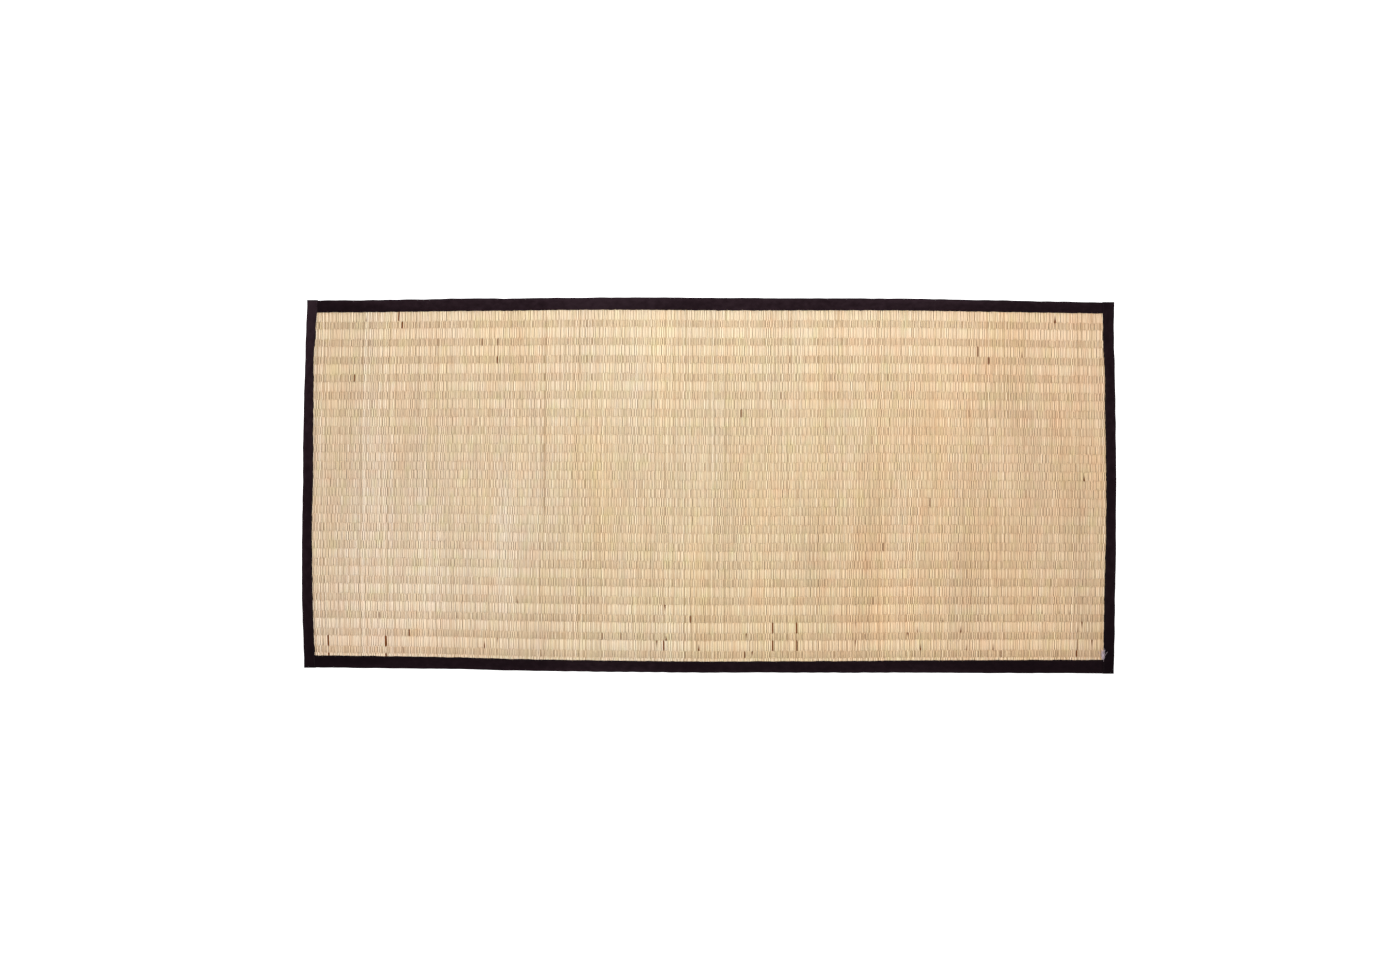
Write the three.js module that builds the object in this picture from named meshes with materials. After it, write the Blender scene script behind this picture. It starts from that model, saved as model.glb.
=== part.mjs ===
// A roll-out tatami mat: a panel woven from rush stems, bound on its four edges with folded black cotton.
// Millimetres. The mat lies flat on z = 0, +X runs along it, +Y across it, and its centre is the origin.
import * as THREE from "three";

const { lerp } = THREE.MathUtils;

// Woven panel: the stems run across the mat and arch over the cords that run along it, a rib over each cord
const PANEL_THICK = 5;
const RIBS = 39;
const RIB_RISE = 0.8;
const RIB_SHOULDER = 0.22; // share of a rib's width that each of its two slopes takes

// Binding: one strip of folded cloth on each edge, closed over the panel's pressed border
const CLOTH_THICK = 1;
const BINDING_HEIGHT = 5.2;
const FOLD_BEVEL = 1.2;
const TAB_BEVEL = 0.6;
const END_PROUD = 1.6; // how far the end strips reach past the long strips' folded edges

// Fits between the pieces
const GAP = 0.3;
const FOLD_ROOM = 1; // between the panel's rim and the inside of the fold
const STEP = 1.2; // length of the slope from the panel's pressed border up to its ribs

// Steps of the meshes along and across the mat
const SPANS_ALONG = 16;
const SPANS_ACROSS = 26; // of the end strips and of the panel's underside

// Each edge's uneven line. at: place along the edge, from the mat's centre. reach: from the centre line
// out to the fold. cover: how far the binding reaches in over the panel.
const FAR_EDGE = [
  { at: -1000, reach: 454.5, cover: 28 },
  { at: -780, reach: 455.8, cover: 28 },
  { at: -635, reach: 459.2, cover: 29 },
  { at: -490, reach: 459.5, cover: 28.5 },
  { at: -340, reach: 461.2, cover: 28 },
  { at: -155, reach: 462.2, cover: 29 },
  { at: 30, reach: 460.8, cover: 29 },
  { at: 250, reach: 459.8, cover: 28 },
  { at: 470, reach: 459.3, cover: 27.5 },
  { at: 620, reach: 456.6, cover: 27 },
  { at: 770, reach: 453.6, cover: 26.5 },
  { at: 950, reach: 449.9, cover: 25.5 },
  { at: 1000, reach: 449.5, cover: 25.5 },
];
const NEAR_EDGE = [
  { at: -1000, reach: 445.6, cover: 28 },
  { at: -780, reach: 448.4, cover: 28 },
  { at: -635, reach: 449.5, cover: 27 },
  { at: -490, reach: 453.4, cover: 26.5 },
  { at: -270, reach: 456.6, cover: 26 },
  { at: 30, reach: 459, cover: 25.5 },
  { at: 175, reach: 458.4, cover: 26 },
  { at: 325, reach: 459.4, cover: 27 },
  { at: 470, reach: 458.6, cover: 28 },
  { at: 620, reach: 459.7, cover: 29.5 },
  { at: 915, reach: 460.3, cover: 31 },
  { at: 1000, reach: 460.6, cover: 31 },
];
const LEFT_EDGE = [
  { at: -450, reach: 994, cover: 27 },
  { at: -380, reach: 996, cover: 24.6 },
  { at: -280, reach: 999.3, cover: 24.5 },
  { at: -185, reach: 1000, cover: 23.9 },
  { at: -85, reach: 998.6, cover: 21.7 },
  { at: 0, reach: 997.6, cover: 23.6 },
  { at: 160, reach: 995.7, cover: 22 },
  { at: 260, reach: 993.1, cover: 20.7 },
  { at: 310, reach: 991.5, cover: 18.7 },
  { at: 360, reach: 989.9, cover: 21 },
  { at: 455, reach: 986.4, cover: 24 },
];
const RIGHT_EDGE = [
  { at: -460, reach: 994, cover: 25.5 },
  { at: -380, reach: 996, cover: 25.3 },
  { at: -280, reach: 997.6, cover: 25 },
  { at: -85, reach: 1000, cover: 22.9 },
  { at: 110, reach: 999.5, cover: 23.5 },
  { at: 210, reach: 998.2, cover: 24.3 },
  { at: 260, reach: 997, cover: 22.2 },
  { at: 310, reach: 996.1, cover: 24.6 },
  { at: 360, reach: 994.3, cover: 24.6 },
  { at: 455, reach: 995.9, cover: 28 },
];

// Heights inside a strip: the panel's pressed border, and the long strips' ends, lie between its two layers
const CHANNEL_LOW = CLOTH_THICK;
const CHANNEL_HIGH = BINDING_HEIGHT - CLOTH_THICK;
const BORDER_LOW = CHANNEL_LOW + GAP;
const BORDER_HIGH = CHANNEL_HIGH - GAP;

// Distances in from the fold, as functions of the cover there
const atFold = () => 0;
const atRim = () => CLOTH_THICK + FOLD_ROOM;
const atHem = (cover) => cover;
const pastHem = (extra) => (cover) => cover + extra;
const beyondFold = () => -END_PROUD;

// A smooth reading of one edge's table
function edgeLine(rows) {
  const places = rows.map((row) => row.at);
  const values = rows.flatMap((row) => [row.reach, row.cover]);
  const curve = new THREE.CubicInterpolant(places, values, 2);
  return (at) => {
    const [reach, cover] = curve.evaluate(at);
    return { reach, cover };
  };
}

const farEdge = edgeLine(FAR_EDGE);
const nearEdge = edgeLine(NEAR_EDGE);
const leftEdge = edgeLine(LEFT_EDGE);
const rightEdge = edgeLine(RIGHT_EDGE);

// One coordinate: a share of the way between two opposite edges, each drawn in by the inset
function between(low, high, { share, inset }) {
  return lerp(inset(low.cover) - low.reach, high.reach - inset(high.cover), share);
}

// A point of the plan. The edges bend so little that a few passes settle it.
function place(along, across) {
  let x = 0;
  let y = 0;
  for (let pass = 0; pass < 4; pass += 1) {
    x = between(leftEdge(y), rightEdge(y), along);
    y = between(nearEdge(x), farEdge(x), across);
  }
  return { x, y };
}

// The same triangle, facing the other way
const turned = ([a, b, c]) => [a, c, b];

// A closed solid through rings of equally many points. closeEnd gives the triangles that fill a ring.
function loft(rings, closeEnd) {
  const triangles = [];
  for (let step = 1; step < rings.length; step += 1) {
    const before = rings[step - 1];
    const after = rings[step];
    for (let i = 0; i < after.length; i += 1) {
      const j = (i + 1) % after.length;
      triangles.push([before[i], before[j], after[j]], [before[i], after[j], after[i]]);
    }
  }
  triangles.push(...closeEnd(rings[0]).map(turned), ...closeEnd(rings.at(-1)));
  const volume = triangles.reduce((sum, [a, b, c]) => sum + a.dot(b.clone().cross(c)), 0);
  const outward = volume > 0 ? triangles : triangles.map(turned);
  const geometry = new THREE.BufferGeometry().setFromPoints(outward.flat());
  geometry.computeVertexNormals();
  return geometry;
}

// Fills a flat ring of upperCount points from near to far and then the lower ones back, both zipped together
const zipFill = (upperCount) => (ring) => {
  const upper = ring.slice(0, upperCount);
  const lower = ring.slice(upperCount).reverse();
  const triangles = [];
  let i = 0;
  let j = 0;
  while (i < upper.length - 1 || j < lower.length - 1) {
    const lowerDone = j === lower.length - 1;
    if (lowerDone || (i < upper.length - 1 && upper[i + 1].y < lower[j + 1].y)) {
      triangles.push([upper[i], upper[i + 1], lower[j]]);
      i += 1;
    } else {
      triangles.push([lower[j + 1], lower[j], upper[i]]);
      j += 1;
    }
  }
  return triangles;
};

// Fills a folded ring, as seen flat along one axis
const foldFill = (axis) => (ring) => {
  const outline = ring.map((point) => new THREE.Vector2(point[axis], point.z));
  const faces = THREE.ShapeUtils.triangulateShape(outline, []);
  const filled = faces.map((face) => face.map((index) => ring[index]));
  return THREE.ShapeUtils.isClockWise(outline) ? filled.map(turned) : filled;
};

// Even steps from one edge to the other, without the two ends
function innerShares(spans) {
  return Array.from({ length: spans - 1 }, (_, i) => (i + 1) / spans);
}

// The same steps in from both ends of the mat, in order along it, with even steps between them
function mirroredStations(endSteps, spans) {
  return [
    ...endSteps.map((step) => ({ ...step, share: 0 })),
    ...innerShares(spans).map((share) => ({ ...endSteps.at(-1), share })),
    ...endSteps.map((step) => ({ ...step, share: 1 })).reverse(),
  ];
}

// Rows across the panel's upper face: pressed border, ribs with a dip between cords, pressed border
function panelTopRows() {
  const ribs = [];
  for (let rib = 0; rib < RIBS; rib += 1) {
    ribs.push({ share: rib / RIBS, height: PANEL_THICK - RIB_RISE });
    ribs.push({ share: (rib + RIB_SHOULDER) / RIBS, height: PANEL_THICK });
    ribs.push({ share: (rib + 1 - RIB_SHOULDER) / RIBS, height: PANEL_THICK });
  }
  ribs.push({ share: 1, height: PANEL_THICK - RIB_RISE });
  return [
    { share: 0, zone: "rim", height: BORDER_HIGH },
    { share: 0, zone: "border", height: BORDER_HIGH },
    ...ribs.map((rib) => ({ ...rib, zone: "ribs" })),
    { share: 1, zone: "border", height: BORDER_HIGH },
    { share: 1, zone: "rim", height: BORDER_HIGH },
  ];
}

// Rows across its flat underside, back from the far edge to the near one
function panelUnderRows() {
  const flat = [0, ...innerShares(SPANS_ACROSS), 1];
  const rows = [
    { share: 0, zone: "rim", height: BORDER_LOW },
    { share: 0, zone: "border", height: BORDER_LOW },
    ...flat.map((share) => ({ share, zone: "ribs", height: 0 })),
    { share: 1, zone: "border", height: BORDER_LOW },
    { share: 1, zone: "rim", height: BORDER_LOW },
  ];
  return rows.reverse();
}

// The woven panel, one flat solid. Its corners are clipped, so that the bindings fold flat there.
function wovenPanel() {
  const fullRows = { rim: atRim, border: pastHem(GAP), ribs: pastHem(GAP + STEP) };
  const clippedRows = { ...fullRows, rim: pastHem(GAP), border: pastHem(2 * GAP) };
  const ends = [
    { inset: atRim, pressed: true, rows: clippedRows },
    { inset: pastHem(GAP), pressed: true, rows: clippedRows },
    { inset: pastHem(GAP + STEP), pressed: false, rows: clippedRows },
    { inset: pastHem(GAP + 2 * STEP), pressed: false, rows: clippedRows },
    { inset: pastHem(2 * GAP + 2 * STEP), pressed: false, rows: fullRows },
  ];
  const topRows = panelTopRows();
  const underRows = panelUnderRows();
  const rings = mirroredStations(ends, SPANS_ALONG).map((station) => {
    const ringPoint = (row, pressedHeight) => {
      const { x, y } = place(station, { share: row.share, inset: station.rows[row.zone] });
      return new THREE.Vector3(x, y, station.pressed ? pressedHeight : row.height);
    };
    return [
      ...topRows.map((row) => ringPoint(row, BORDER_HIGH)),
      ...underRows.map((row) => ringPoint(row, BORDER_LOW)),
    ];
  });
  return loft(rings, zipFill(topRows.length));
}

// Section of a strip of cloth folded over the panel's border: inset from the fold, and height
function foldedSection({ low, high, slitLow, slitHigh, bevel }) {
  return [
    { inset: () => bevel, height: low },
    { inset: atFold, height: low + bevel },
    { inset: atFold, height: high - bevel },
    { inset: () => bevel, height: high },
    { inset: atHem, height: high },
    { inset: atHem, height: slitHigh },
    { inset: () => CLOTH_THICK, height: slitHigh },
    { inset: () => CLOTH_THICK, height: slitLow },
    { inset: atHem, height: slitLow },
    { inset: atHem, height: low },
  ];
}

const OPEN_SECTION = foldedSection({
  low: 0,
  high: BINDING_HEIGHT,
  slitLow: CHANNEL_LOW,
  slitHigh: CHANNEL_HIGH,
  bevel: FOLD_BEVEL,
});

// The long strips' ends are pressed flat, to lie inside the end strips
const TAB_SECTION = foldedSection({
  low: BORDER_LOW,
  high: BORDER_HIGH,
  slitLow: (BORDER_LOW + BORDER_HIGH - GAP) / 2,
  slitHigh: (BORDER_LOW + BORDER_HIGH + GAP) / 2,
  bevel: TAB_BEVEL,
});

// A strip along one long edge: share 0 is the near edge and share 1 the far one
function longBinding(share) {
  const ends = [
    { inset: atRim, section: TAB_SECTION },
    { inset: pastHem(GAP), section: TAB_SECTION },
    { inset: pastHem(GAP + STEP), section: OPEN_SECTION },
  ];
  const rings = mirroredStations(ends, SPANS_ALONG).map((station) => {
    return station.section.map(({ inset, height }) => {
      const { x, y } = place(station, { share, inset });
      return new THREE.Vector3(x, y, height);
    });
  });
  return loft(rings, foldFill("y"));
}

// A strip across one end, over the long strips' ends: share 0 is the left end and share 1 the right one
function endBinding(share) {
  const rows = [0, ...innerShares(SPANS_ACROSS), 1];
  const rings = rows.map((row) => {
    return OPEN_SECTION.map(({ inset, height }) => {
      const { x, y } = place({ share, inset }, { share: row, inset: beyondFold });
      return new THREE.Vector3(x, y, height);
    });
  });
  return loft(rings, foldFill("x"));
}

const rush = new THREE.MeshStandardMaterial({ color: 0xdec29c, roughness: 0.75, metalness: 0 });
const cotton = new THREE.MeshStandardMaterial({ color: 0x241a1e, roughness: 0.9, metalness: 0 });

function namedMesh(name, geometry, material) {
  const mesh = new THREE.Mesh(geometry, material);
  mesh.name = name;
  return mesh;
}

const mat = new THREE.Group();
mat.add(
  namedMesh("woven_panel", wovenPanel(), rush),
  namedMesh("long_binding_near", longBinding(0), cotton),
  namedMesh("long_binding_far", longBinding(1), cotton),
  namedMesh("end_binding_left", endBinding(0), cotton),
  namedMesh("end_binding_right", endBinding(1), cotton),
);

export default mat;
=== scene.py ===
"""A roll-out tatami mat: rush stems woven one by one over hidden cords, bound with folded black cotton.

Metres, in the part's own frame: +X along the mat, +Y across it, +Z up, and the mat lies on z = 0.
The photograph looks straight down, with +Y up in the picture.
"""

import math

import bpy
import numpy as np
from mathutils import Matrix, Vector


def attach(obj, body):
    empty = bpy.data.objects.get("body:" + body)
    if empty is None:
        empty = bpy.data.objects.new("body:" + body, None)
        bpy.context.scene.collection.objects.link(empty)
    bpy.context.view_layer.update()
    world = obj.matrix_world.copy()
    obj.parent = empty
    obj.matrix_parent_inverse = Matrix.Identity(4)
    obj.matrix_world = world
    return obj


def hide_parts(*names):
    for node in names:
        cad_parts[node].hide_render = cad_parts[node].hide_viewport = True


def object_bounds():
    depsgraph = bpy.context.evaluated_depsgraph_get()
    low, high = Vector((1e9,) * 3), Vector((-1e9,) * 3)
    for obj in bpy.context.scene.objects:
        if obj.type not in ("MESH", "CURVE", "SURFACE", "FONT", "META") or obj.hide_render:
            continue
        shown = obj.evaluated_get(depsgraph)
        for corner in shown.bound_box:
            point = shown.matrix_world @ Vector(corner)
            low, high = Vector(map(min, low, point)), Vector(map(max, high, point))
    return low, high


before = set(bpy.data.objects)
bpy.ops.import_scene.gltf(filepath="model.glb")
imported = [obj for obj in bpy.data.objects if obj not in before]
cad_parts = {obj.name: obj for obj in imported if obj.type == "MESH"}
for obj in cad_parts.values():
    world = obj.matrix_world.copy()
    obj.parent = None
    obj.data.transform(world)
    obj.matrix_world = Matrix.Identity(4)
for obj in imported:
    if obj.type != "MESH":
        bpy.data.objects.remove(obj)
cad_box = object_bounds()

MM = 0.001
RNG = np.random.default_rng(6908)

# The photograph's frame, and where the mat's centre lies in it
PHOTO_WIDE = 1400
PHOTO_HIGH = 960
MAT_CENTRE_X_PX = 708.95
MAT_CENTRE_Y_PX = 485.65
METRES_PER_PX = 2.459 * MM
LENS_MM = 50
SENSOR_MM = 36

# Weave: bands of stems that pass over one cord, counted from the far hem to the near one
BANDS = 39.2
HIDDEN_BANDS = 1
STEM_COUNT = 1100
BLOCKS = 12
RIM_INSET = 2.2 * MM

# A float's ends in its band, and how far the taller bands reach into their neighbours, in bands
FLOAT_START = 0.11
FLOAT_END = 0.89
BAND_SHIFT = 0.11

# Heights of the weave
MID_HEIGHT = 2.5 * MM
FLOAT_RISE = 0.9 * MM
FLOAT_THICK = 0.8 * MM
CROSS_THICK = 0.8 * MM
LOWEST = 0.03 * MM

# Under the binding the stems are pressed flat: from where to where, in from the hem, and how far
PRESS_START = -3 * MM
PRESS_END = 2 * MM
PRESSED_THICK = 1.2 * MM
PRESSED_SHARE = 0.15

# A stem's width in shares of its room: where it floats, is sunken or crosses, and its taper to the tip
FLOAT_FILL = 1.03
SUNKEN_FILL = 0.5
CROSS_FILL = 1.25
TAPER = 0.06

# Cords
CORD_RADIUS = 0.55 * MM
CORD_SIDES = 4
CORD_STATIONS = 60

# A stem's section, in halves of its width and thickness: two flanks that meet in a ridge, and a base
SECTION_ACROSS = np.array([1, 0, -1])
SECTION_UP = np.array([-0.3, 1, -0.3])
STEM_SIDES = 3
STEM_FLANKS = 2

# Unevenness of the stems; waves are given by their shortest and longest length, in metres
WIDTH_SPREAD = 0.26
FLOAT_WIDTH_SPREAD = 0.02
FLOAT_END_SPREAD = 0.03
FLOAT_SHIFT = 0.05 * MM
FLOAT_LIFT_SPREAD = 0.05 * MM
TWIST_SPREAD = math.radians(4)
DRIFT = 0.6 * MM
DRIFT_WAVES = (0.25, 0.9)
DRIFT_LEAN = 0.7
SWELL_WAVES = (0.12, 0.6)
SWELL_LENGTH = 2
OWN_WANDER = 0.25 * MM
OWN_WAVES = (0.2, 0.5)
CALM_SHARE = 0.02

# Slack lines in the weave: how many of the stems, how far open, and how that varies along a stem
SLACK_SHARE = 0.025
SLACK_LEAST = 0.3
SLACK_GAP = 0.3 * MM
SLACK_MIDDLE = 0.7
SLACK_SWING = 0.6
SLACK_WAVES = (0.3, 0.9)

# How far apart two stems read a line of waves or the fibres' noise, so that each has a stretch of its own
OWN_STRIDE = 13
SLACK_STRIDE = 7
FIBRE_STRIDE = 40

# Tone of the straw, from 0, dark, to 1, pale; patch sizes are along the mat and across it, in metres
TONE_MIDDLE = 0.68
BUTT_TONE = 0.13
EDGE_TONE = 0.05
# Painted light: the crossings, low in the valleys between bands, are made a little paler to lift their
# shade
CROSSING_PAINTED_LIGHT = 0.02
# Painted light: the straw grows paler towards the far edge, where the soft box hangs
FAR_PAINTED_LIGHT = 0.05
STEM_TONE_SPREAD = 0.062
TONE_CONTRAST = 0.42
EDGE_CONTRAST = 0.5
FLOAT_TONE_SPREAD = 0.07
PATCH_TONE = 0.034
TONE_PATCH_SIZE = (0.02, 0.15)

# Its hues, each from 0 to 1: tint, greenish to pinkish, warmth, cool to warm, and gold, ashen to golden
HUE_MIDDLE = 0.5
STEM_TINT_SPREAD = 0.05
FLOAT_TINT_SPREAD = 0.03
PATCH_TINT = 0.15
TINT_PATCH_SIZE = (0.008, 0.01)
WARMTH_RISE = 0.42
PATCH_WARMTH = 0.06
WARMTH_PATCH_SIZE = (0.015, 0.018)
PATCH_GOLD = 0.085
GOLD_PATCH_SIZE = (0.06, 0.09)
COLUMN_GOLD = 0.08
GOLD_COLUMN_SIZE = (0.02, 0.25)

# Faint flecks at random: how many of the floats, and how dark
FAINT_FLECKS = 0.003
FAINTEST = 0.12
LEAST_FAINT = 0.4
FLECK_REACH = 4 * MM

# Binding cloth
CLOTH_THICK = 0.7 * MM
CLOTH_TOP = 5.0 * MM
HEM_TURN = 8 * MM
HEM_EASE = 1.4 * MM
FOLD_EASE = 1.0 * MM
SEAM_INSET = 2.6 * MM
SEAM_DIP = 0.25 * MM
FOLD_RADIUS = 2.4 * MM
FOLD_STEPS = 7
FOLD_WAVER = 0.25 * MM
FOLD_WAVES = (0.03, 0.25)
HEM_WAVER = 0.3 * MM
HEM_WAVES = (0.012, 0.09)
PUCKER = 0.12 * MM
PUCKER_WAVES = (0.009, 0.05)
CUT_WIDTH = 75 * MM
STRIP_STEP = 6 * MM

# Ends of the strips: long ones are pressed flat inside the end strips, whose own tips are closed
TAB_SQUASH = 0.5
TAB_SLOPE = (0.4 * MM, 4 * MM)
END_PROUD = 0.8 * MM
TIP_SQUASH = 0.4
TIP_SLOPE = (-0.6 * MM, 1.8 * MM)
TIP_PLACES = np.array([0.0, 0.4, 1.0]) * MM
TIP_LENGTH = 2 * MM

# Seams: how far each stops from the end of its hem, and a stitch's three sections
LONG_SEAM_MARGIN = 2 * MM
END_SEAM_MARGIN = 4 * MM
STITCH_LENGTH = 3.2 * MM
STITCH_GAP = 0.8 * MM
STITCH_ALONG = np.array([-0.5, 0.0, 0.5])
STITCH_TAPER = np.array([0.45, 1.0, 0.45])
STITCH_RISE = np.array([0.0, 0.16, 0.0]) * MM
THREAD_RADIUS = 0.28 * MM

# How pale each strip is: at its middle, the rise towards its right or far end, and the drop at both ends
# Partly each strip's own cloth tone, partly painted light and shade: paler near the soft box over the far
# edge, darker at the ends
STRIP_TONE_AND_LIGHT = {
    "long_binding_near": (-0.07, 0.16, 0.74),
    "long_binding_far": (0.64, 0.22, 0.86),
    "end_binding_left": (0.20, 0.95, 0.10),
    "end_binding_right": (0.03, 0.63, 0.88),
}

# Loose thread ends at the near right corner
TUFT_X = 967 * MM
TUFT_Y = -416 * MM
TUFT_STRANDS = 26
TUFT_STEPS = 9
TUFT_SPLAY = 0.12
TUFT_CURL = 0.35
TUFT_SHORTEST = 12 * MM
TUFT_LONGEST = 28 * MM
TUFT_WIDE = 1.6 * MM
TUFT_SCATTER = 6 * MM
TUFT_LOWEST = 0.2 * MM
TUFT_HIGHEST = 1.2 * MM
TUFT_ARCH = 0.5 * MM

# Bake maps, in shares of the map: the strips' rows, their end caps, and the stems' lanes
ROW_LENGTH = 0.99
ROW_MARGIN = 0.02
OUTER_FACE_END = 0.86
INNER_FACE_START = 0.88
STRIP_CAP_MIDDLE = np.array([0.9955, 0.3])
STRIP_CAP_SIZE = np.array([0.003, 0.1])
STRIP_CAPS_APART = np.array([0, 0.4])
LANE_MARGIN = 0.06
LANE_CAP = 0.004
STEM_CAP_SIZE = 0.4

# Light and floor
SOFTBOX_LONG = 2.4
SOFTBOX_DEEP = 0.7
SOFTBOX_X = -0.08
SOFTBOX_Y = 0.55
SOFTBOX_Z = 2.6
SOFTBOX_WATTS = 60
SURROUND = 0.5
FLOOR_GLOW = 0.7
GLOW_INSET = 18 * MM
FLOOR_REACH = 90
FLOOR_DROP = 0.1 * MM


# Colours are written as they look on a screen, 0 to 255
def screen(red, green, blue):
    def linear(value):
        share = value / 255
        return share / 12.92 if share <= 0.04045 else ((share + 0.055) / 1.055) ** 2.4

    return (linear(red), linear(green), linear(blue), 1.0)


# Small tools


def ripple(shortest, longest, count=9):
    """A smooth random line of about unit height, with waves between two lengths."""
    lengths = np.exp(RNG.uniform(math.log(shortest), math.log(longest), count))
    starts = RNG.uniform(0, 2 * math.pi, count)

    def line(at):
        waves = np.sin(2 * math.pi * np.asarray(at)[..., None] / lengths + starts)
        return waves.sum(-1) * math.sqrt(2 / count)

    return line


def blotches(wide, tall, count=48):
    """A smooth random field of about unit height, in patches of a width along X and a height along Y."""
    along = RNG.normal(0, 1 / wide, count)
    across = RNG.normal(0, 1 / tall, count)
    starts = RNG.uniform(0, 2 * math.pi, count)

    def field(x, y):
        total = np.zeros(np.broadcast(x, y).shape)
        for wave_x, wave_y, start in zip(along, across, starts):
            total += np.sin(wave_x * x + wave_y * y + start)
        return total * math.sqrt(2 / count)

    return field


def ease(value, low, high):
    share = np.clip((value - low) / (high - low), 0, 1)
    return share * share * (3 - 2 * share)


def blend(low, high, share):
    return low + (high - low) * share


def tube_faces(tubes, rings, sides):
    """Side faces and end caps of many closed tubes, whose points run tube by tube and ring by ring."""
    tube = np.arange(tubes)[:, None, None] * rings * sides
    ring = np.arange(rings - 1)[None, :, None] * sides
    side = np.arange(sides)[None, None, :]
    beside = (side + 1) % sides
    near, far = tube + ring, tube + ring + sides
    quads = np.stack(np.broadcast_arrays(near + side, near + beside, far + beside, far + side), -1)
    first = np.arange(tubes)[:, None] * rings * sides
    last = first + (rings - 1) * sides
    caps = np.concatenate([first + np.arange(sides)[::-1], last + np.arange(sides)])
    return quads.reshape(-1, 4), caps


def new_object(name, points, faces, material, smooth=False, uv=None):
    """A mesh object from points and faces; smooth may be one answer or one for each face."""
    mesh = bpy.data.meshes.new(name)
    mesh.from_pydata(points.tolist(), [], faces)
    mesh.polygons.foreach_set("use_smooth", np.broadcast_to(smooth, len(faces)).astype(bool))
    if uv is not None:
        mesh.uv_layers.new(name="OFBake").data.foreach_set("uv", uv.astype(np.float32).ravel())
    mesh.materials.append(material)
    piece = bpy.data.objects.new(name, mesh)
    bpy.context.collection.objects.link(piece)
    return piece


class Joined:
    """Many closed tubes joined in one mesh: smooth sides, flat end caps, and a bake map if one is given.

    Where only the first few sides of each tube are smooth, their count is given.
    """

    def __init__(self, smooth_sides=None):
        self.smooth_sides = smooth_sides
        self.points, self.sides, self.caps, self.smooth = [], [], [], []
        self.side_uv, self.cap_uv = [], []
        self.count = 0

    def add(self, points, side_uv=None, cap_uv=None, flip=False):
        """Adds tubes whose points are given as (tube, ring, side, xyz)."""
        quads, caps = tube_faces(*points.shape[:3])
        turn = -1 if flip else 1
        side = np.arange(len(quads)) % points.shape[2]
        self.smooth.append(side < (self.smooth_sides or points.shape[2]))
        self.sides.append((quads + self.count)[:, ::turn])
        self.caps.append((caps + self.count)[:, ::turn])
        self.points.append(points.reshape(-1, 3))
        self.count += len(self.points[-1])
        if side_uv is not None:
            self.side_uv.append(side_uv.reshape(-1, 4, 2)[:, ::turn].reshape(-1, 2))
            self.cap_uv.append(cap_uv.reshape(len(caps), -1, 2)[:, ::turn].reshape(-1, 2))

    def finish(self, name, material):
        sides, caps = np.concatenate(self.sides), np.concatenate(self.caps)
        smooth = np.concatenate(self.smooth + [np.zeros(len(caps), bool)])
        uv = np.concatenate(self.side_uv + self.cap_uv) if self.side_uv else None
        faces = sides.tolist() + caps.tolist()
        return new_object(name, np.concatenate(self.points), faces, material, smooth, uv)


def store(piece, name, values):
    """Keeps one number for each point of a piece, for its material to read."""
    attribute = piece.data.attributes.new(name, "FLOAT", "POINT")
    attribute.data.foreach_set("value", np.asarray(values, np.float32).ravel())


# The mat's plan, read from the CAD strips


class Edge:
    """One edge of the mat: the lines of its fold and of its hem, each a place across for a place along.

    They are read at the strip's stations, which lie further apart than the gap given, and evened out.
    """

    STATION_GAP = 8 * MM
    EVENING = 70 * MM
    READINGS = 900

    def __init__(self, node, along, across):
        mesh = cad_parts[node].data
        points = np.empty(len(mesh.vertices) * 3)
        mesh.vertices.foreach_get("co", points)
        points = points.reshape(-1, 3)
        points = points[np.argsort(points[:, along])]
        breaks = np.flatnonzero(np.diff(points[:, along]) > self.STATION_GAP) + 1
        stations = np.split(points, breaks)
        self.side = np.sign(points[:, across].mean())
        at = [station[:, along].mean() for station in stations]
        outer = [self.side * (self.side * station[:, across]).max() for station in stations]
        inner = [self.side * (self.side * station[:, across]).min() for station in stations]
        self.at = np.linspace(at[0], at[-1], self.READINGS)
        self.folds = self.evened(np.interp(self.at, at, outer)) + self.side * FOLD_EASE
        self.hems = self.evened(np.interp(self.at, at, inner)) - self.side * HEM_EASE

    def evened(self, line):
        count = int(self.EVENING / (self.at[1] - self.at[0])) | 1
        weights = np.hanning(count + 2)[1:-1]
        padded = np.pad(line, count // 2, mode="edge")
        return np.convolve(padded, weights / weights.sum(), "valid")

    def fold(self, at):
        return np.interp(at, self.at, self.folds)

    def hem(self, at):
        return np.interp(at, self.at, self.hems)


FAR = Edge("long_binding_far", 0, 1)
NEAR = Edge("long_binding_near", 0, 1)
LEFT = Edge("end_binding_left", 1, 0)
RIGHT = Edge("end_binding_right", 1, 0)


def inside_hems(x, y):
    """How far a point lies inside the nearest hem, negative under the binding."""
    ends = np.minimum(x - LEFT.hem(y), RIGHT.hem(y) - x)
    sides = np.minimum(y - NEAR.hem(x), FAR.hem(x) - y)
    return np.minimum(ends, sides)


def band_line(band, x):
    """The place across the mat of a band number, following the bow of the long hems."""
    return blend(FAR.hem(x), NEAR.hem(x), band / BANDS)


# Materials


def add(tree, kind, inputs=None, **settings):
    """A new node with its settings, and with values or links for its inputs."""
    made = tree.nodes.new(kind)
    for name, value in settings.items():
        setattr(made, name, value)
    for key, value in (inputs or {}).items():
        if isinstance(value, bpy.types.NodeSocket):
            tree.links.new(value, made.inputs[key])
        else:
            made.inputs[key].default_value = value
    return made


def maths(tree, operation, first, second=0.0, third=0.0):
    return add(tree, "ShaderNodeMath", {0: first, 1: second, 2: third}, operation=operation).outputs[0]


def weighted(tree, start, parts):
    """A start value plus each part times its weight."""
    total = start
    for part, weight in parts:
        total = maths(tree, "MULTIPLY_ADD", part, weight, total)
    return total


def stored(tree, name):
    return add(tree, "ShaderNodeAttribute", attribute_name=name).outputs["Fac"]


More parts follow.
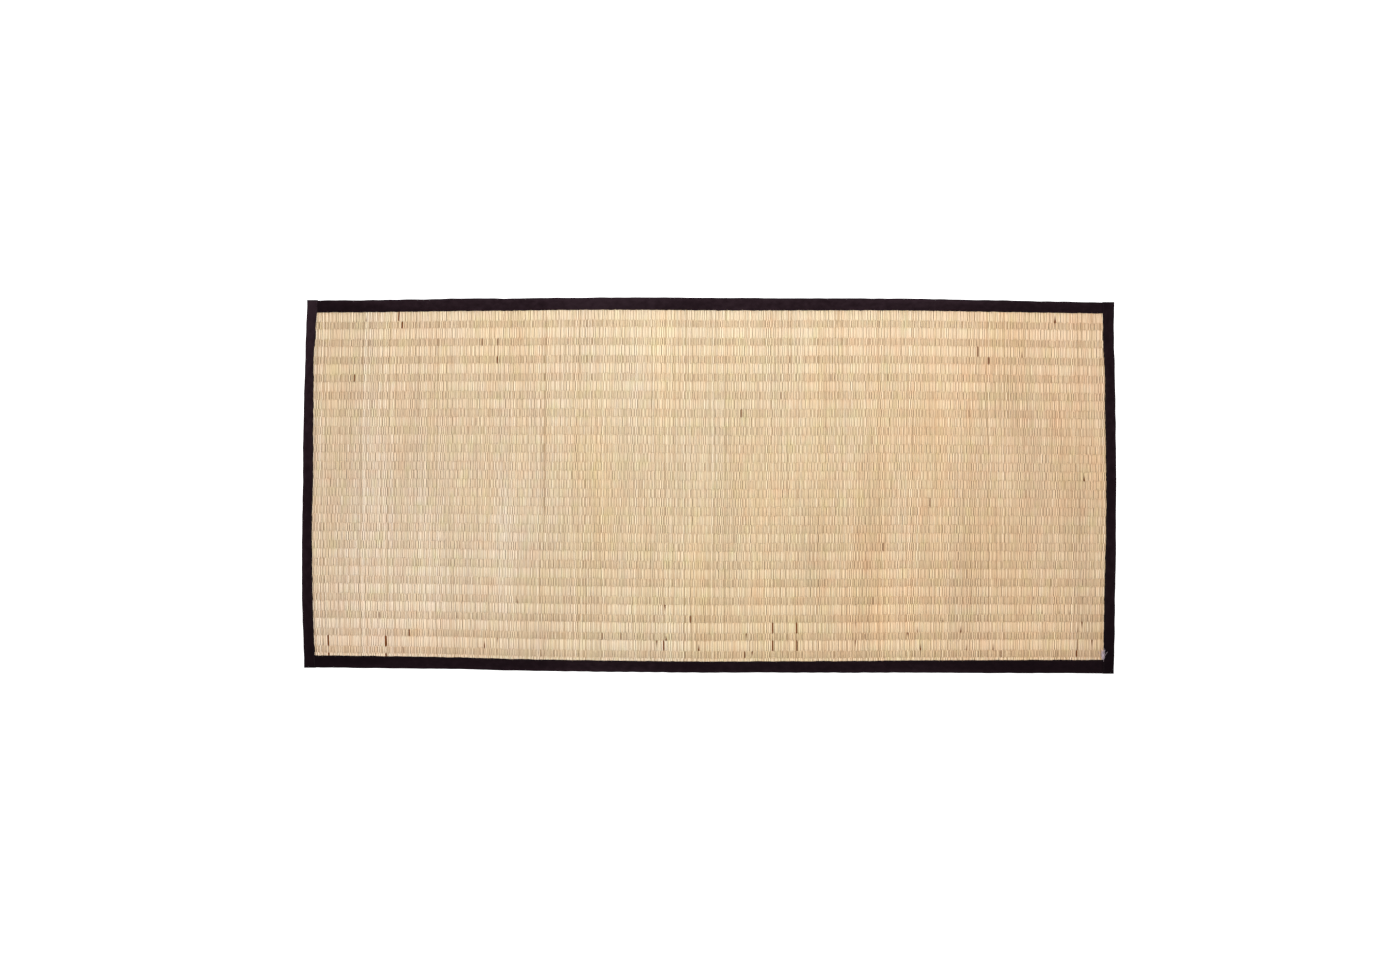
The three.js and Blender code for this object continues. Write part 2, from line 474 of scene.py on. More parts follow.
def ramp(tree, value, stops):
    """A colour ramp through (place, colour) stops."""
    made = add(tree, "ShaderNodeValToRGB", {0: value})
    elements = made.color_ramp.elements
    while len(elements) < len(stops):
        elements.new(0.5)
    for element, (place, colour) in zip(elements, stops):
        element.position = place
        element.color = colour
    return made.outputs["Color"]


def noise(tree, vector, scale, detail=3.0, roughness=0.55):
    """Noise stretched by a scale for each axis."""
    mapped = add(tree, "ShaderNodeMapping", {"Vector": vector, "Scale": scale})
    made = add(
        tree,
        "ShaderNodeTexNoise",
        {"Vector": mapped.outputs[0], "Scale": 1.0, "Detail": detail, "Roughness": roughness},
    )
    return made.outputs["Fac"]


def mix_colours(tree, mode, share, first, second):
    inputs = {0: share, 6: first, 7: second}
    return add(tree, "ShaderNodeMix", inputs, data_type="RGBA", blend_type=mode).outputs[2]


def new_material(name):
    """An empty node material: its tree and its surface shader."""
    material = bpy.data.materials.new(name)
    material.use_nodes = True
    tree = material.node_tree
    return material, tree, tree.nodes["Principled BSDF"]


# What each hue multiplies the straw's colour by: at 0, in its middle and at 1
HUES = {
    "tint": ((0.955, 1.0, 0.90, 1), (1, 1, 1, 1), (1.0, 0.935, 0.90, 1)),
    "warmth": ((1.0, 0.965, 1.04, 1), (1.02, 1.0, 0.985, 1), (1.04, 0.915, 0.87, 1)),
    "gold": ((0.97, 1.01, 1.09, 1), (1, 1, 1, 1), (1.03, 0.99, 0.91, 1)),
}


def straw_colour(tree, tone):
    """The straw's colour from dark to pale, times each of its hues."""
    colour = ramp(
        tree,
        tone,
        [
            (0.0, screen(176, 144, 104)),
            (0.25, screen(201, 173, 135)),
            (0.5, screen(224, 199, 161)),
            (0.75, screen(240, 216, 178)),
            (1.0, screen(254, 235, 202)),
        ],
    )
    for name, (low, middle, high) in HUES.items():
        hue = ramp(tree, stored(tree, name), [(0.0, low), (HUE_MIDDLE, middle), (1.0, high)])
        colour = mix_colours(tree, "MULTIPLY", 1.0, colour, hue)
    return colour


def stem_bump(tree, fibre, flank):
    """The relief of the fibres; a stem's flat base, which looks down, is shaded as a round one."""
    normal = add(tree, "ShaderNodeNewGeometry").outputs["Normal"]
    upright = add(tree, "ShaderNodeSeparateXYZ", {0: normal}).outputs["Z"]
    under = maths(tree, "MULTIPLY", maths(tree, "LESS_THAN", upright, 0.0), flank)
    height = weighted(tree, fibre, [(under, -6.0)])
    bump = add(tree, "ShaderNodeBump", {"Strength": 0.35, "Distance": 0.25 * MM, "Height": height})
    return bump.outputs[0]


def rush_material():
    """Dried rush: straw tones, fine fibres along the stem, painted shade on the flanks, and thin brown
    flecks.
    """
    material, tree, shader = new_material("rush")
    place = add(tree, "ShaderNodeTexCoord").outputs["Object"]
    stride = maths(tree, "MULTIPLY", stored(tree, "stem"), FIBRE_STRIDE)
    shift = add(tree, "ShaderNodeCombineXYZ", {"Y": stride}).outputs[0]
    along = add(tree, "ShaderNodeVectorMath", {0: place, 1: shift}, operation="ADD").outputs[0]
    fibre = noise(tree, along, (1400, 24, 900))
    mottle = noise(tree, along, (140, 9, 90), detail=2.0)
    side = stored(tree, "side")
    flank = maths(tree, "MULTIPLY", side, side)
    # The flank weight paints shade on the stems' flanks, so that they look round
    parts = [(stored(tree, "tone"), 1.0), (fibre, 0.3), (mottle, 0.24), (flank, -0.06)]
    straw = straw_colour(tree, weighted(tree, -0.24, parts))
    fleck = weighted(tree, 0.0, [(stored(tree, "fleck"), 2.0), (flank, -0.3), (fibre, -0.5)])
    fleck = add(tree, "ShaderNodeClamp", {0: fleck}).outputs[0]
    colour = mix_colours(tree, "MIX", fleck, straw, screen(124, 64, 8))
    tree.links.new(colour, shader.inputs["Base Color"])
    tree.links.new(weighted(tree, 0.42, [(fibre, 0.3)]), shader.inputs["Roughness"])
    shader.inputs["Specular IOR Level"].default_value = 0.3
    tree.links.new(stem_bump(tree, fibre, flank), shader.inputs["Normal"])
    return material


def cord_material():
    """Pale twisted twine."""
    material, tree, shader = new_material("cord")
    place = add(tree, "ShaderNodeTexCoord").outputs["Object"]
    twist = noise(tree, place, (900, 500, 500))
    colour = ramp(tree, twist, [(0.3, screen(176, 152, 112)), (0.7, screen(214, 194, 156))])
    tree.links.new(colour, shader.inputs["Base Color"])
    shader.inputs["Roughness"].default_value = 0.85
    return material


def cotton_material():
    """Near-black twill: fine diagonal ribs, faint lint, a little paler along the fold, and painted light
    and shade along each strip.
    """
    material, tree, shader = new_material("black_cotton")
    along, round_it = stored(tree, "along"), stored(tree, "round")
    cloth = add(tree, "ShaderNodeCombineXYZ", {"X": along, "Y": round_it}).outputs[0]
    twill = add(
        tree,
        "ShaderNodeTexWave",
        {"Vector": cloth, "Scale": 190.0, "Distortion": 0.6, "Detail": 1.0, "Detail Scale": 4.0},
        bands_direction="DIAGONAL",
    ).outputs["Fac"]
    yarn = noise(tree, cloth, (700, 2600, 1), detail=2.0)
    lint = noise(tree, cloth, (60, 90, 1), detail=4.0)
    fading = noise(tree, cloth, (3, 9, 1), detail=1.0)
    # Wear along the fold, and painted light and shade along each strip
    wear_and_light = stored(tree, "wear_and_light")
    parts = [(twill, 0.22), (yarn, 0.25), (lint, 0.5), (fading, 0.5), (wear_and_light, 0.22)]
    colour = ramp(
        tree,
        weighted(tree, -0.2, parts),
        [(0.24, screen(12, 4, 8)), (0.59, screen(25, 13, 18)), (0.84, screen(44, 31, 37))],
    )
    tree.links.new(colour, shader.inputs["Base Color"])
    shader.inputs["Roughness"].default_value = 0.85
    shader.inputs["Specular IOR Level"].default_value = 0.06
    height = weighted(tree, twill, [(yarn, 0.5)])
    bump = add(tree, "ShaderNodeBump", {"Strength": 0.5, "Distance": 0.2 * MM, "Height": height})
    tree.links.new(bump.outputs[0], shader.inputs["Normal"])
    return material


def thread_material(name, dark, pale):
    """Sewing thread, with its ply showing as a fine noise."""
    material, tree, shader = new_material(name)
    place = add(tree, "ShaderNodeTexCoord").outputs["Object"]
    ply = noise(tree, place, (2200, 2200, 1500))
    tree.links.new(ramp(tree, ply, [(0.3, dark), (0.7, pale)]), shader.inputs["Base Color"])
    shader.inputs["Roughness"].default_value = 0.6
    return material


# Rush stems


def stem_places():
    """Each stem's place and share along the mat: the stems' own widths add up to its whole length."""
    widths = RNG.lognormal(0, WIDTH_SPREAD, STEM_COUNT)
    ends = np.concatenate([[0], np.cumsum(widths)]) / widths.sum()
    return (ends[1:] + ends[:-1]) / 2, np.diff(ends)


def gap_places(middles):
    """Where a sunken stem lies: under the gap between its two neighbours."""
    padded = np.concatenate([[-middles[0]], middles, [2 - middles[-1]]])
    return (padded[:-2] + padded[2:]) / 2


def slack_places():
    """How open the weave is over each stem, from 0 to 1: slack lines here and there, two stems wide."""
    slack = RNG.random(STEM_COUNT) < SLACK_SHARE
    open_here = np.where(slack, RNG.uniform(SLACK_LEAST, 1, STEM_COUNT), 0)
    return np.maximum(open_here, np.roll(open_here, 1))


def float_spans(middles, gaps):
    """Where a stem spreads over its sunken neighbours: the middle and share between its fellows.

    A gap is what stays open over a sunken stem, given for each stem at each section.
    """
    before = np.concatenate([[-middles[1], -middles[0]], middles[:-2]])
    after = np.concatenate([middles[2:], [2 - middles[-1], 2 - middles[-2]]])
    low = ((before + middles) / 2)[:, None] + np.roll(gaps, 1, axis=0)
    high = ((after + middles) / 2)[:, None] - np.roll(gaps, -1, axis=0)
    return (low + high) / 2, high - low


class Stems:
    """The woven stems as arrays: one row for each stem, one column for each section along it.

    A section lies where a stem crosses between its neighbours, or at the start or the end of a float.
    Even stems have their thick butt at the far edge and float over even bands, odd ones the other way.
    """

    def __init__(self):
        self.middle, self.share = stem_places()
        self.gap_middle = gap_places(self.middle)
        self.family = np.arange(STEM_COUNT)[:, None] % 2
        bands = np.arange(-HIDDEN_BANDS, math.ceil(BANDS) + HIDDEN_BANDS)
        places = (bands[:, None] + [0, FLOAT_START, FLOAT_END]).ravel()
        used = places <= BANDS + HIDDEN_BANDS
        self.place = places[used][None]
        self.band = np.repeat(bands, 3)[used]
        self.raised = np.tile([0.0, 1.0, 1.0], len(bands))[used][None]
        self.lean = np.tile([-1.0, -1.0, 1.0], len(bands))[used][None]
        self.over = np.where((self.band + self.family) % 2 == 0, 1.0, -1.0)
        across = np.clip(self.place / BANDS, 0, 1)
        self.fullness = 1 - 2 * np.where(self.family == 0, across, 1 - across)
        whole = RIGHT.fold(0) - LEFT.fold(0)
        along_stem = ripple(*SLACK_WAVES)(across + SLACK_STRIDE * np.arange(STEM_COUNT)[:, None])
        fading = np.clip(SLACK_MIDDLE + SLACK_SWING * along_stem, 0, 1)
        gaps = slack_places()[:, None] * fading * SLACK_GAP / whole
        self.float_middle, self.float_share = float_spans(self.middle, gaps)
        self.lay()
        self.shape()

    def each_float(self, spread):
        """A random number for each float of each stem, at every section of it."""
        drawn = RNG.normal(0, spread, (STEM_COUNT, np.ptp(self.band) + 1))
        return drawn[:, self.band - self.band.min()]

    def lay(self):
        """Where each section's middle lies, and how far it is raised or sunk.

        The bands in which thick butts float are the taller ones.
        """
        ragged = RNG.normal(0, FLOAT_END_SPREAD, self.over.shape) * self.raised
        taller = np.where(self.band % 2 == 0, 1, -1) * (1 - 2 * np.clip(self.place / BANDS, 0, 1))
        place = self.place + self.lean * BAND_SHIFT * taller + ragged
        straight = blend(LEFT.fold(0), RIGHT.fold(0), self.middle)[:, None]
        self.y = band_line(place, straight)
        left, right = LEFT.fold(self.y) + RIM_INSET, RIGHT.fold(self.y) - RIM_INSET
        self.length = right - left
        inside = inside_hems(blend(left, right, self.middle[:, None]), self.y)
        self.woven = ease(inside, PRESS_START, PRESS_END)
        self.spread = self.raised * blend(PRESSED_SHARE, 1.0, self.woven)
        resting = np.where(self.over > 0, self.float_middle, self.gap_middle[:, None])
        share = blend(self.middle[:, None], resting, self.spread)
        self.x = blend(left, right, share) + self.wander(share)
        self.x += self.each_float(FLOAT_SHIFT) * self.spread
        rise = FLOAT_RISE + self.each_float(FLOAT_LIFT_SPREAD)
        self.z = MID_HEIGHT + rise * self.over * self.spread

    def wander(self, share):
        """A slow drift that neighbouring stems share, and a smaller one of each stem's own."""
        drift = ripple(*DRIFT_WAVES)(self.y + DRIFT_LEAN * share)
        drift = drift * ripple(*SWELL_WAVES)(SWELL_LENGTH * share)
        own = ripple(*OWN_WAVES)(self.y + OWN_STRIDE * np.arange(STEM_COUNT)[:, None])
        calm = ease(share, 0, CALM_SHARE) * ease(1 - share, 0, CALM_SHARE)
        return (DRIFT * drift + OWN_WANDER * own) * calm

    def shape(self):
        """Each section's width, thickness and twist."""
        crossing = self.share[:, None] * CROSS_FILL
        fill = np.where(self.over > 0, FLOAT_FILL, SUNKEN_FILL)
        floating = self.float_share * fill * (1 + TAPER * self.fullness)
        floating = floating * (1 + self.each_float(FLOAT_WIDTH_SPREAD))
        self.width = blend(crossing, floating, self.spread) * self.length
        stout = np.sqrt(self.share * STEM_COUNT)[:, None]
        thick = blend(PRESSED_THICK, blend(CROSS_THICK, FLOAT_THICK, self.raised), self.woven)
        self.thick = thick * blend(1.0, stout, self.woven)
        self.twist = self.each_float(TWIST_SPREAD) * self.spread

    def points(self, rows, columns):
        """Corner points of the sections of some stems: (stem, section, side, xyz)."""
        pick = np.ix_(rows, columns)
        sideways = self.width[pick][..., None] / 2 * SECTION_ACROSS
        upwards = self.thick[pick][..., None] / 2 * SECTION_UP
        turn = self.twist[pick][..., None]
        x = self.x[pick][..., None] + sideways * np.cos(turn) - upwards * np.sin(turn)
        z = self.z[pick][..., None] + sideways * np.sin(turn) + upwards * np.cos(turn)
        y = np.broadcast_to(self.y[pick][..., None], x.shape)
        return np.stack([x, y, np.maximum(z, LOWEST)], -1)


# Dark flecks that stand out, by their place on the mat in millimetres
FLECKS = [
    # x, y, length along the stem, how dark
    (-935, -381, 24, 1.0),
    (-935, -414, 10, 0.7),
    (-869, 264, 14, 0.6),
    (-842, 413, 12, 0.5),
    (-811, -318, 10, 0.45),
    (-793, -381, 24, 0.8),
    (-793, -414, 10, 0.65),
    (-762, 416, 18, 0.8),
    (-753, 397, 14, 0.8),
    (-735, -367, 22, 0.6),
    (-667, 355, 16, 0.4),
    (-558, 353, 18, 0.55),
    (-549, -391, 10, 0.85),
    (-519, -380, 6, 0.5),
    (-518, 355, 16, 0.5),
    (-518, 311, 16, 0.65),
    (-471, -284, 12, 0.5),
    (-264, -368, 20, 0.45),
    (-214, -367, 14, 0.45),
    (-127, -389, 20, 0.6),
    (-112, -390, 22, 0.75),
    (-110, -295, 24, 0.6),
    (-105, -375, 10, 0.6),
    (-46, -326, 16, 0.6),
    (-24, -397, 12, 0.7),
    (80, 178, 20, 0.5),
    (90, -365, 8, 0.6),
    (90, -411, 18, 0.85),
    (106, -411, 14, 0.6),
    (156, -348, 22, 0.8),
    (156, -392, 22, 0.75),
    (214, -348, 22, 1.0),
    (214, -392, 22, 0.85),
    (360, -345, 14, 0.4),
    (360, -390, 20, 0.6),
    (403, -283, 14, 0.45),
    (425, -152, 20, 0.5),
    (488, -367, 8, 0.6),
    (513, -353, 8, 0.5),
    (523, -397, 12, 0.65),
    (543, -43, 24, 0.75),
    (576, -333, 10, 0.45),
    (622, -356, 8, 0.6),
    (634, -403, 8, 0.5),
    (662, 328, 20, 0.6),
    (690, 308, 20, 0.6),
    (700, -397, 12, 0.6),
    (720, -413, 16, 0.55),
    (769, 321, 16, 0.55),
    (797, -276, 8, 0.45),
    (820, -308, 8, 0.4),
    (848, 407, 16, 0.65),
    (862, -308, 8, 0.4),
    (887, -308, 10, 0.4),
    (902, -414, 20, 0.85),
    (907, -380, 44, 0.45),
    (917, -339, 12, 0.6),
    (921, 13, 14, 0.75),
    (941, -387, 12, 0.6),
]

# Stretches of two neighbouring stems that are darker or paler than the rest, in millimetres
STREAKS = [
    # x, from y, to y, change of tone
    (-804, -430, -170, 0.25),
    (-684, -360, -110, 0.30),
    (-404, -60, 415, -0.50),
    (-404, -430, -60, -0.20),
    (-328, -100, 170, -0.25),
    (-35, -430, -130, 0.25),
    (200, 275, 430, -0.40),
    (314, 395, 430, -0.50),
    (513, -260, 20, 0.28),
]

# Patches of another tone or hue than the rest, by their place on the mat in metres
PATCHES = [
    # x, y, reach along, reach across, then the change of tone, tint, warmth and gold
    (-0.95, 0.42, 0.30, 0.22, -0.10, 0.0, 0.16, 0.0),
    (-0.92, 0.15, 0.10, 0.30, -0.04, 0.0, 0.0, 0.0),
    (-0.85, -0.30, 0.40, 0.25, 0.09, 0.0, 0.0, 0.0),
    (-0.80, -0.40, 0.30, 0.08, 0.03, 0.30, 0.0, 0.0),
    (-0.734, -0.364, 0.010, 0.015, -0.03, 0.45, 0.25, 0.10),
    (-0.68, -0.10, 0.18, 0.20, 0.02, 0.0, 0.0, -0.30),
    (-0.55, -0.36, 0.10, 0.08, -0.06, 0.0, 0.0, 0.0),
    (-0.52, 0.34, 0.15, 0.14, 0.0, 0.0, 0.0, 0.27),
    (0.0, 0.32, 0.16, 0.15, 0.03, 0.0, 0.0, -0.20),
    (0.25, 0.45, 0.60, 0.12, 0.09, 0.0, 0.0, 0.0),
    (0.28, 0.12, 0.20, 0.15, 0.02, -0.10, 0.0, -0.25),
    (0.28, -0.28, 0.25, 0.12, 0.0, 0.0, 0.0, 0.25),
    (0.40, -0.13, 0.30, 0.10, -0.05, 0.0, 0.0, 0.0),
    (0.42, -0.28, 0.15, 0.18, 0.0, 0.0, 0.12, 0.0),
    (0.90, -0.15, 0.14, 0.22, 0.04, 0.0, 0.0, -0.30),
    (1.0, -0.10, 0.22, 0.50, -0.09, 0.0, 0.0, 0.0),
    (1.0, -0.15, 0.12, 0.25, 0.0, 0.0, -0.12, 0.0),
]
PATCH_TONES, PATCH_TINTS, PATCH_WARMTHS, PATCH_GOLDS = range(4, 8)


def placed_patches(stems, column):
    """The sum of one column of the patches at each section, each patch fading out past its reach."""
    total = np.zeros_like(stems.x)
    for patch in PATCHES:
        x, y, along, across = patch[:4]
        total += patch[column] * np.exp(-(((stems.x - x) / along) ** 2) - ((stems.y - y) / across) ** 2)
    return total


def nearest_sections(stems, x, y, length):
    """The stem that lies on top nearest to a place, and its sections within a length of it."""
    hidden = (stems.over < 0) | (stems.raised == 0)
    distance = np.hypot(stems.x - x, stems.y - y) + hidden
    stem, section = np.unravel_index(distance.argmin(), distance.shape)
    within = np.abs(stems.y[stem] - y) <= length / 2 + FLECK_REACH
    within[section] = True
    return stem, within


def fleck_map(stems):
    """How dark each section's fleck is: those listed, and a few faint ones at random."""
    drawn = RNG.random((STEM_COUNT, np.ptp(stems.band) + 1))
    faint = np.where(drawn < FAINT_FLECKS, RNG.uniform(FAINTEST, LEAST_FAINT, drawn.shape), 0)
    flecks = faint[:, stems.band - stems.band.min()] * stems.raised
    for x, y, length, dark in FLECKS:
        stem, sections = nearest_sections(stems, x * MM, y * MM, length * MM)
        flecks[stem, sections] = dark
    return flecks


def paired_tones():
    """Each stem's own tone: alike for two neighbours, and the more unlike for the next ones."""
    drawn = RNG.normal(0, STEM_TONE_SPREAD, STEM_COUNT)
    alike = drawn + np.roll(drawn, 1)
    return alike - TONE_CONTRAST * (np.roll(alike, 2) + np.roll(alike, -2))


def tone_map(stems):
    """From 0, dark, to 1, pale: pale butts, darker tips, each stem and float a little its own, and
    painted light towards the far edge and at the crossings.
    """
    tone = TONE_MIDDLE + BUTT_TONE * stems.fullness + EDGE_TONE * stems.fullness**2
    # Painted light makes the straw paler towards the far edge, nearer the soft box
    tone = tone + FAR_PAINTED_LIGHT * stems.y + placed_patches(stems, PATCH_TONES)
    tone = tone + paired_tones()[:, None] * (1 + EDGE_CONTRAST * stems.fullness**2)
    # The crossings get painted light, a little paler, to lift the shade of their valleys
    tone = tone + stems.each_float(FLOAT_TONE_SPREAD) + CROSSING_PAINTED_LIGHT * (1 - stems.raised)
    tone = tone + PATCH_TONE * blotches(*TONE_PATCH_SIZE)(stems.x, stems.y)
    for x, low, high, change in STREAKS:
        pair = np.abs(stems.x.mean(1) - x * MM).argsort()[:2]
        tone[pair] += change * ((stems.y[pair] >= low * MM) & (stems.y[pair] <= high * MM))
    return tone


def tint_map(stems):
    """From 0, greenish, to 1, pinkish: one hue for each stem, changed a little at each float."""
    tint = HUE_MIDDLE + RNG.normal(0, STEM_TINT_SPREAD, STEM_COUNT)[:, None]
    tint = tint + stems.each_float(FLOAT_TINT_SPREAD) + placed_patches(stems, PATCH_TINTS)
    return np.clip(tint + PATCH_TINT * blotches(*TINT_PATCH_SIZE)(stems.x, stems.y), 0, 1)


def warmth_map(stems):
    """From 0, cool, to 1, warm: the straw grows warmer along the mat."""
    patches = PATCH_WARMTH * blotches(*WARMTH_PATCH_SIZE)(stems.x, stems.y)
    rise = WARMTH_RISE * stems.x + placed_patches(stems, PATCH_WARMTHS)
    return np.clip(HUE_MIDDLE + rise + patches, 0, 1)


def gold_map(stems):
    """From 0, ashen, to 1, golden: broad patches, and columns that run along the stems."""
    patches = PATCH_GOLD * blotches(*GOLD_PATCH_SIZE)(stems.x, stems.y)
    columns = COLUMN_GOLD * blotches(*GOLD_COLUMN_SIZE)(stems.x, stems.y)
    return np.clip(HUE_MIDDLE + patches + columns + placed_patches(stems, PATCH_GOLDS), 0, 1)


def stem_facts(stems):
    """What the material reads at each section of each stem, by the name that it is stored under."""
    return {
        "tone": tone_map(stems),
        "tint": tint_map(stems),
        "fleck": fleck_map(stems),
        "warmth": warmth_map(stems),
        "stem": np.broadcast_to(RNG.random(STEM_COUNT)[:, None], stems.x.shape),
        "gold": gold_map(stems),
    }


def stem_uv(lanes, columns, first, last):
    """A bake map's lanes, one upright lane for each stem, with the end caps in the lane's ends."""
    lane = lanes[:, None, None, None]
    side = np.arange(STEM_SIDES)[None, None, :, None] + np.array([0, 1, 1, 0])
    ring = columns[None, :-1, None, None] + np.array([0, 0, 1, 1])
    u = lane + LANE_MARGIN + (1 - 2 * LANE_MARGIN) * side / STEM_SIDES
    v = LANE_CAP + (1 - 2 * LANE_CAP) * (ring - first) / (last - first)
    sides = np.stack(np.broadcast_arrays(u, v), -1).reshape(-1, 2)
    angle = np.arange(STEM_SIDES) * 2 * math.pi / STEM_SIDES
    cap_u = lanes[:, None] + 0.5 + STEM_CAP_SIZE * np.cos(angle)
    cap_v = np.broadcast_to(LANE_CAP * (0.5 + STEM_CAP_SIZE * np.sin(angle)), cap_u.shape)
    low = np.stack([cap_u, cap_v], -1).reshape(-1, 2)
    high = np.stack([cap_u, 1 - LANE_CAP + cap_v], -1).reshape(-1, 2)
    return sides, np.concatenate([low, high])


def make_block(name, stems, facts, rows, material):
    """One block of stems.

    Stems that lie wholly under an end strip stop at the long hems, so that the mat's corners stay thin.
    """
    every = np.arange(stems.x.shape[1])
    between = every[(stems.place[0] >= 0) & (stems.place[0] <= BANDS)]
    x, y = stems.x[rows], stems.y[rows]
    covered = (x < LEFT.hem(y)).all(1) | (x > RIGHT.hem(y)).all(1)
    lanes = np.arange(len(rows))
    block = Joined(STEM_FLANKS)
    values = {fact: [] for fact in (*facts, "side")}
    for chosen, columns in ((~covered, every), (covered, between)):
        if not chosen.any():
            continue
        points = stems.points(rows[chosen], columns)
        sides_uv, caps_uv = stem_uv(lanes[chosen], columns, every[0], every[-1])
        block.add(points, sides_uv / [len(rows), 1], caps_uv / [len(rows), 1])
        for fact, numbers in facts.items():
            picked = numbers[np.ix_(rows[chosen], columns)]
            values[fact].append(np.repeat(picked.ravel(), STEM_SIDES))
        values["side"].append(np.tile(SECTION_ACROSS, points.shape[0] * points.shape[1]))
    piece = block.finish(name, material)
    for fact, parts in values.items():
        store(piece, fact, np.concatenate(parts))
    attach(piece, "root")
    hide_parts("woven_panel")
    return piece.name


def make_stems(material):
    """The woven panel, in blocks of stems along the mat; their names are given back."""
    stems = Stems()
    facts = stem_facts(stems)
    names = []
    for number, rows in enumerate(np.array_split(np.arange(STEM_COUNT), BLOCKS), 1):
        names.append(make_block(f"rush_weave_{number:02d}", stems, facts, rows, material))
    return names


def make_cords(material):
    """The cords that the stems are woven over, one along the middle of each band."""
    shares = np.linspace(0, 1, CORD_STATIONS)
    bands = np.arange(-HIDDEN_BANDS, math.ceil(BANDS)) + 0.5
    straight = blend(LEFT.fold(0), RIGHT.fold(0), shares)
    y = band_line(bands[:, None], straight[None])
    x = blend(LEFT.fold(y) + RIM_INSET, RIGHT.fold(y) - RIM_INSET, shares[None])
    angle = np.arange(CORD_SIDES) * 2 * math.pi / CORD_SIDES
    across = y[..., None] + CORD_RADIUS * np.cos(angle)
    up = MID_HEIGHT + CORD_RADIUS * np.sin(angle)
    cords = Joined()
    cords.add(np.stack(np.broadcast_arrays(x[..., None], across, up), -1))
    piece = cords.finish("cords", material)
    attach(piece, "root")
    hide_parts("woven_panel")


# Binding strips


def flap_rows(level, inwards):
    """Half of the cloth's outer face, from its hem to its fold: (measured from, inset, height, wear and
    painted light).
    """
    return [
        ("hem", 0.0, level + inwards * 0.9 * CLOTH_THICK, 0.0),
        ("hem", 0.25 * MM, level + inwards * 0.35 * CLOTH_THICK, 0.0),
        ("hem", 0.9 * MM, level + inwards * 0.1 * MM, 0.0),
        ("hem", SEAM_INSET - 0.8 * MM, level + inwards * 0.05 * MM, 0.0),
        ("hem", SEAM_INSET, level + inwards * SEAM_DIP, 0.0),
        ("hem", SEAM_INSET + 0.9 * MM, level + inwards * 0.06 * MM, 0.0),
        ("cover", 0.55, level, 0.05),
        ("cover", 0.3, level, 0.2),
    ]


def fold_rows():
    """The round of the fold, from the under face to the upper one."""
    rows = []
    for angle in np.radians(np.linspace(-90, 90, FOLD_STEPS)):
        inset = FOLD_RADIUS * (1 - math.cos(angle))
        height = CLOTH_TOP / 2 * (1 + math.sin(angle))
        rows.append(("fold", inset, height, 0.5 + 0.5 * math.cos(angle)))
    return rows


def inner_rows():
    """The cloth's inner face, from the upper hem round to the under one, with both hems turned in."""
    lining = [
        ("hem", 0.25 * MM, 2 * CLOTH_THICK, 0.0),
        ("hem", HEM_TURN, 2 * CLOTH_THICK, 0.0),
        ("hem", HEM_TURN + 1 * MM, CLOTH_THICK, 0.0),
        ("fold", FOLD_RADIUS, CLOTH_THICK, 0.0),
        ("fold", CLOTH_THICK, 0.35 * CLOTH_TOP, 0.0),
    ]
    upper = [(kind, inset, CLOTH_TOP - height, wear_and_light) for kind, inset, height, wear_and_light in lining]
    return upper + lining[::-1]


def strip_section(edge, along):
    """A strip's folded section at each station: places across, heights, places round it, and wear."""
    outer = flap_rows(0, 1) + fold_rows() + flap_rows(CLOTH_TOP, -1)[::-1]
    rows = outer + inner_rows()
    fold = edge.fold(along) + edge.side * FOLD_WAVER * ripple(*FOLD_WAVES)(along)
    hem = edge.hem(along) + HEM_WAVER * ripple(*HEM_WAVES)(along)
    cover = np.abs(fold - hem)
    pucker = PUCKER * ripple(*PUCKER_WAVES)(along)
    across, up = [], []
    for kind, inset, height, wear_and_light in rows:
        reach = {"fold": inset, "hem": cover - inset, "cover": cover * inset}[kind]
        across.append(fold - edge.side * reach)
        up.append(height + (pucker if kind == "cover" and height > MID_HEIGHT else np.zeros_like(along)))
    across, up = np.stack(across, 1), np.stack(up, 1)
    steps = np.hypot(np.diff(across, axis=1), np.diff(up, axis=1))
    round_it = np.concatenate([np.zeros((len(along), 1)), np.cumsum(steps, axis=1)], 1)
    last = len(outer) - 1
    round_it[:, last:] = np.maximum(2 * round_it[:, [last]] - round_it[:, last:], 0)
    wear_and_light = np.broadcast_to([row[3] for row in rows], across.shape)
    return across, up, round_it, wear_and_light, len(outer)


def strip_uv(stations, around, outer):
    """A bake map that lays the strip out in rows, with the cloth's hidden inner face narrowed."""
    count = max(1, round(math.sqrt(stations * STRIP_STEP / CUT_WIDTH)))
    each = math.ceil((stations - 1) / count)
    outer_places = np.linspace(0, OUTER_FACE_END, outer)
    inner_places = np.linspace(INNER_FACE_START, 1, around - outer + 1)
    places = np.concatenate([outer_places, inner_places])
    station = np.arange(stations - 1)[:, None, None]
    row = station // each
    side = np.arange(around)[None, :, None] + np.array([0, 1, 1, 0])
    u = ROW_LENGTH * (station - row * each + np.array([0, 0, 1, 1])) / each
    v = (row + ROW_MARGIN + (1 - 2 * ROW_MARGIN) * places[side]) / count
    sides = np.stack(np.broadcast_arrays(u, v), -1).reshape(-1, 2)
    angle = np.arange(around) * 2 * math.pi / around
    cap = STRIP_CAP_MIDDLE + STRIP_CAP_SIZE * np.stack([np.cos(angle), np.sin(angle)], -1)
    return sides, np.concatenate([cap, cap + STRIP_CAPS_APART])


